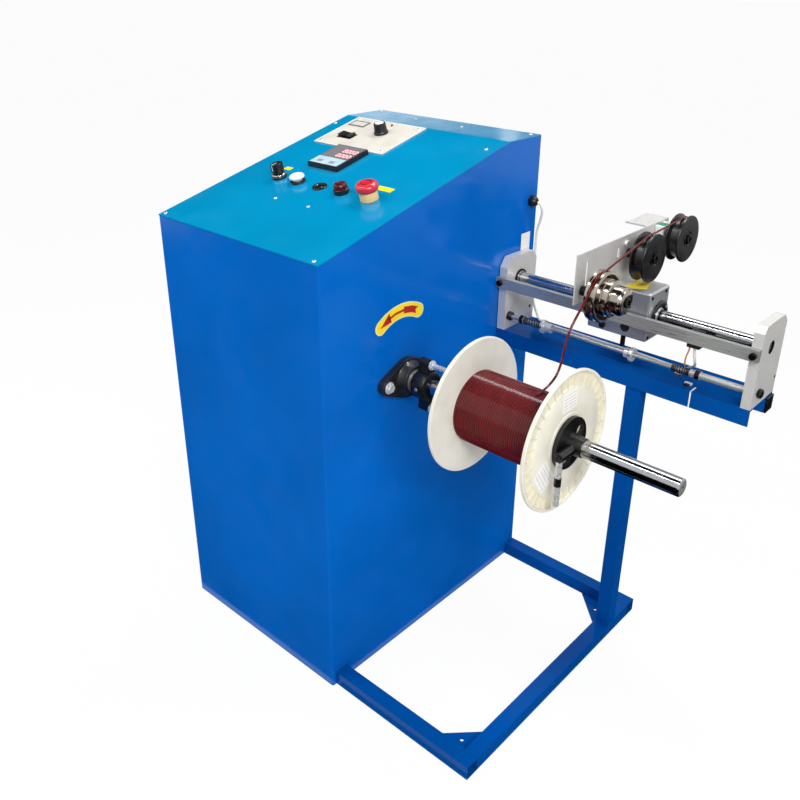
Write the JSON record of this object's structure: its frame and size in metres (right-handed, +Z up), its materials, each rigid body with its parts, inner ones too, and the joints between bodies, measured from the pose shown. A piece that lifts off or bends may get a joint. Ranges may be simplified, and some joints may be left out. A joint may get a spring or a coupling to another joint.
{
  "type": "wire winding machine",
  "caption": "Cabinet-mounted wire winding machine with a sloped control panel, a driven spool spindle and a rolling-ring traverse that lays the wire.",
  "frame": {"origin": "on the floor, below the middle of the machine's outer box", "axes": "+X along the spindle, out of the cabinet's spool side; -Y towards the operator at the low edge of the sloped panel; +Z up"},
  "size_m": [1.015, 0.7226, 1.0428],
  "materials": {
    "blue_paint": "gloss",
    "aluminium": "milled",
    "cast_aluminium": "satin",
    "steel": "ground",
    "dark_steel": "blackened",
    "black_plastic": "satin",
    "rubber": "matte",
    "cream_plastic": "satin",
    "white_plastic": "gloss",
    "red_plastic": "gloss",
    "dark_red_lens": "gloss",
    "wire_insulation": "satin",
    "cast_iron": "painted black",
    "orange_insulation": "satin"
  },
  "bodies": {
    "machine": {"cabinet_shell": "blue_paint", "sloped_panel": "blue_paint", "rear_top_strip": "blue_paint", "front_tube": "blue_paint", "back_tube": "blue_paint", "cross_tube": "blue_paint", "frame_post": "blue_paint", "traverse_beam": "blue_paint", "beam_tube": "blue_paint", "left_end_plate": "aluminium", "right_end_plate": "aluminium", "guide_bar": "steel", "flange_bearing": "cast_iron", "bearing_stand": "blue_paint", "motor": "cast_aluminium", "drive_belt": "rubber", "traverse_belt": "rubber", "control_plate": "aluminium", "counter": "black_plastic", "selector_base": "steel", "button_bezel": "steel", "blank_plug": "black_plastic", "red_lamp": "dark_red_lens", "estop_base": "cream_plastic", "cable_gland": "black_plastic", "sensor": "black_plastic", "sensor_cable": "white_plastic", "orange_lead": "orange_insulation", "wire_to_spool": "wire_insulation"},
    "door": {"rear_door": "blue_paint"},
    "traverse": {"traverse_shaft": "steel"},
    "carriage": {"carriage_body": "aluminium", "carriage_cover": "black_plastic", "wire_bracket": "aluminium", "wheel_axle": "dark_steel", "front_roller_axle": "dark_steel", "rear_roller_axle": "dark_steel", "wire_over_rollers": "wire_insulation"},
    "lever": {"reversing_lever": "dark_steel"},
    "wheel": {"guide_wheel": "steel"},
    "roller_front": {"front_roller": "black_plastic"},
    "roller_rear": {"rear_roller": "black_plastic"},
    "rod": {"trip_rod": "steel", "left_spring": "dark_steel", "right_spring": "dark_steel"},
    "stop_left": {"left_stop_collar": "steel"},
    "stop_right": {"right_stop_collar": "steel"},
    "spindle": {"spindle_shaft": "steel", "drive_hub": "black_plastic", "spool": "cream_plastic", "winding_core": "wire_insulation", "wire_winding": "wire_insulation"},
    "clamp": {"clamp_hub": "black_plastic"},
    "handle": {"clamp_lever": "steel"},
    "rotor": {"motor_pulley": "dark_steel"},
    "knob": {"speed_knob": "black_plastic"},
    "rocker": {"rocker_switch": "black_plastic"},
    "selector": {"selector_knob": "black_plastic"},
    "button": {"white_button": "white_plastic"},
    "stop_button": {"estop_head": "red_plastic"}
  },
  "joints": [
    {"name": "rear_door_hinge", "type": "hinge", "parent": "machine", "child": "door", "pos_m": [-0.4955, 0.26095, 0.5], "axis": [0, 0, 1], "range_deg": [0, 110]},
    {"name": "spindle_spin", "type": "hinge", "parent": "machine", "child": "spindle", "pos_m": [-0.0575, -0.15235, 0.6305], "axis": [1, 0, 0], "continuous": true},
    {"name": "traverse_spin", "type": "hinge", "parent": "machine", "child": "traverse", "pos_m": [-0.0575, 0.18665, 0.747], "axis": [1, 0, 0], "continuous": true},
    {"name": "motor_spin", "type": "hinge", "parent": "machine", "child": "rotor", "pos_m": [-0.1675, -0.02635, 0.13], "axis": [1, 0, 0], "continuous": true},
    {"name": "clamp_slide", "type": "slide", "parent": "spindle", "child": "clamp", "axis": [1, 0, 0], "range_m": [0, 0.12]},
    {"name": "clamp_lever_hinge", "type": "hinge", "parent": "clamp", "child": "handle", "pos_m": [0.3227, -0.19665, 0.6305], "axis": [0, 1, 0], "range_deg": [-85, 0]},
    {"name": "carriage_slide", "type": "slide", "parent": "machine", "child": "carriage", "axis": [1, 0, 0], "range_m": [-0.15, 0]},
    {"name": "reversing_lever_hinge", "type": "hinge", "parent": "carriage", "child": "lever", "pos_m": [0.229, 0.18665, 0.705], "axis": [0, 0, 1], "range_deg": [-10, 10]},
    {"name": "guide_wheel_spin", "type": "hinge", "parent": "carriage", "child": "wheel", "pos_m": [0.2445, 0.02165, 0.823], "axis": [1, 0, 0], "continuous": true},
    {"name": "front_roller_spin", "type": "hinge", "parent": "carriage", "child": "roller_front", "pos_m": [0.24485, 0.17965, 0.856], "axis": [1, 0, 0], "continuous": true},
    {"name": "rear_roller_spin", "type": "hinge", "parent": "carriage", "child": "roller_rear", "pos_m": [0.24485, 0.31565, 0.8635], "axis": [1, 0, 0], "continuous": true},
    {"name": "trip_rod_slide", "type": "slide", "parent": "machine", "child": "rod", "axis": [1, 0, 0], "range_m": [-0.008, 0.008]},
    {"name": "left_stop_slide", "type": "slide", "parent": "rod", "child": "stop_left", "axis": [1, 0, 0], "range_m": [0, 0.1]},
    {"name": "right_stop_slide", "type": "slide", "parent": "rod", "child": "stop_right", "axis": [1, 0, 0], "range_m": [0, 0.07]},
    {"name": "speed_knob_turn", "type": "hinge", "parent": "machine", "child": "knob", "pos_m": [-0.3455, 0.0886, 1.01738], "axis": [0, -0.247, 0.969], "range_deg": [-135, 135]},
    {"name": "rocker_tilt", "type": "hinge", "parent": "machine", "child": "rocker", "pos_m": [-0.4115, 0.05275, 1.00824], "axis": [0, 0.969, 0.247], "range_deg": [-4, 4]},
    {"name": "selector_turn", "type": "hinge", "parent": "machine", "child": "selector", "pos_m": [-0.3975, -0.15037, 0.95894], "axis": [0, -0.247, 0.969], "range_deg": [-45, 45]},
    {"name": "white_button_press", "type": "slide", "parent": "machine", "child": "button", "axis": [0, 0.247, -0.969], "range_m": [0, 0.003], "stiffness_N_per_m": 300, "springref_m": -0.001},
    {"name": "estop_press", "type": "slide", "parent": "machine", "child": "stop_button", "axis": [0, 0.247, -0.969], "range_m": [0, 0.004], "stiffness_N_per_m": 500, "springref_m": -0.001}
  ],
  "couplings": [
    {"joint": "motor_spin", "follows": "spindle_spin", "ratio": 1.7143},
    {"joint": "traverse_spin", "follows": "spindle_spin", "ratio": 1}
  ]
}
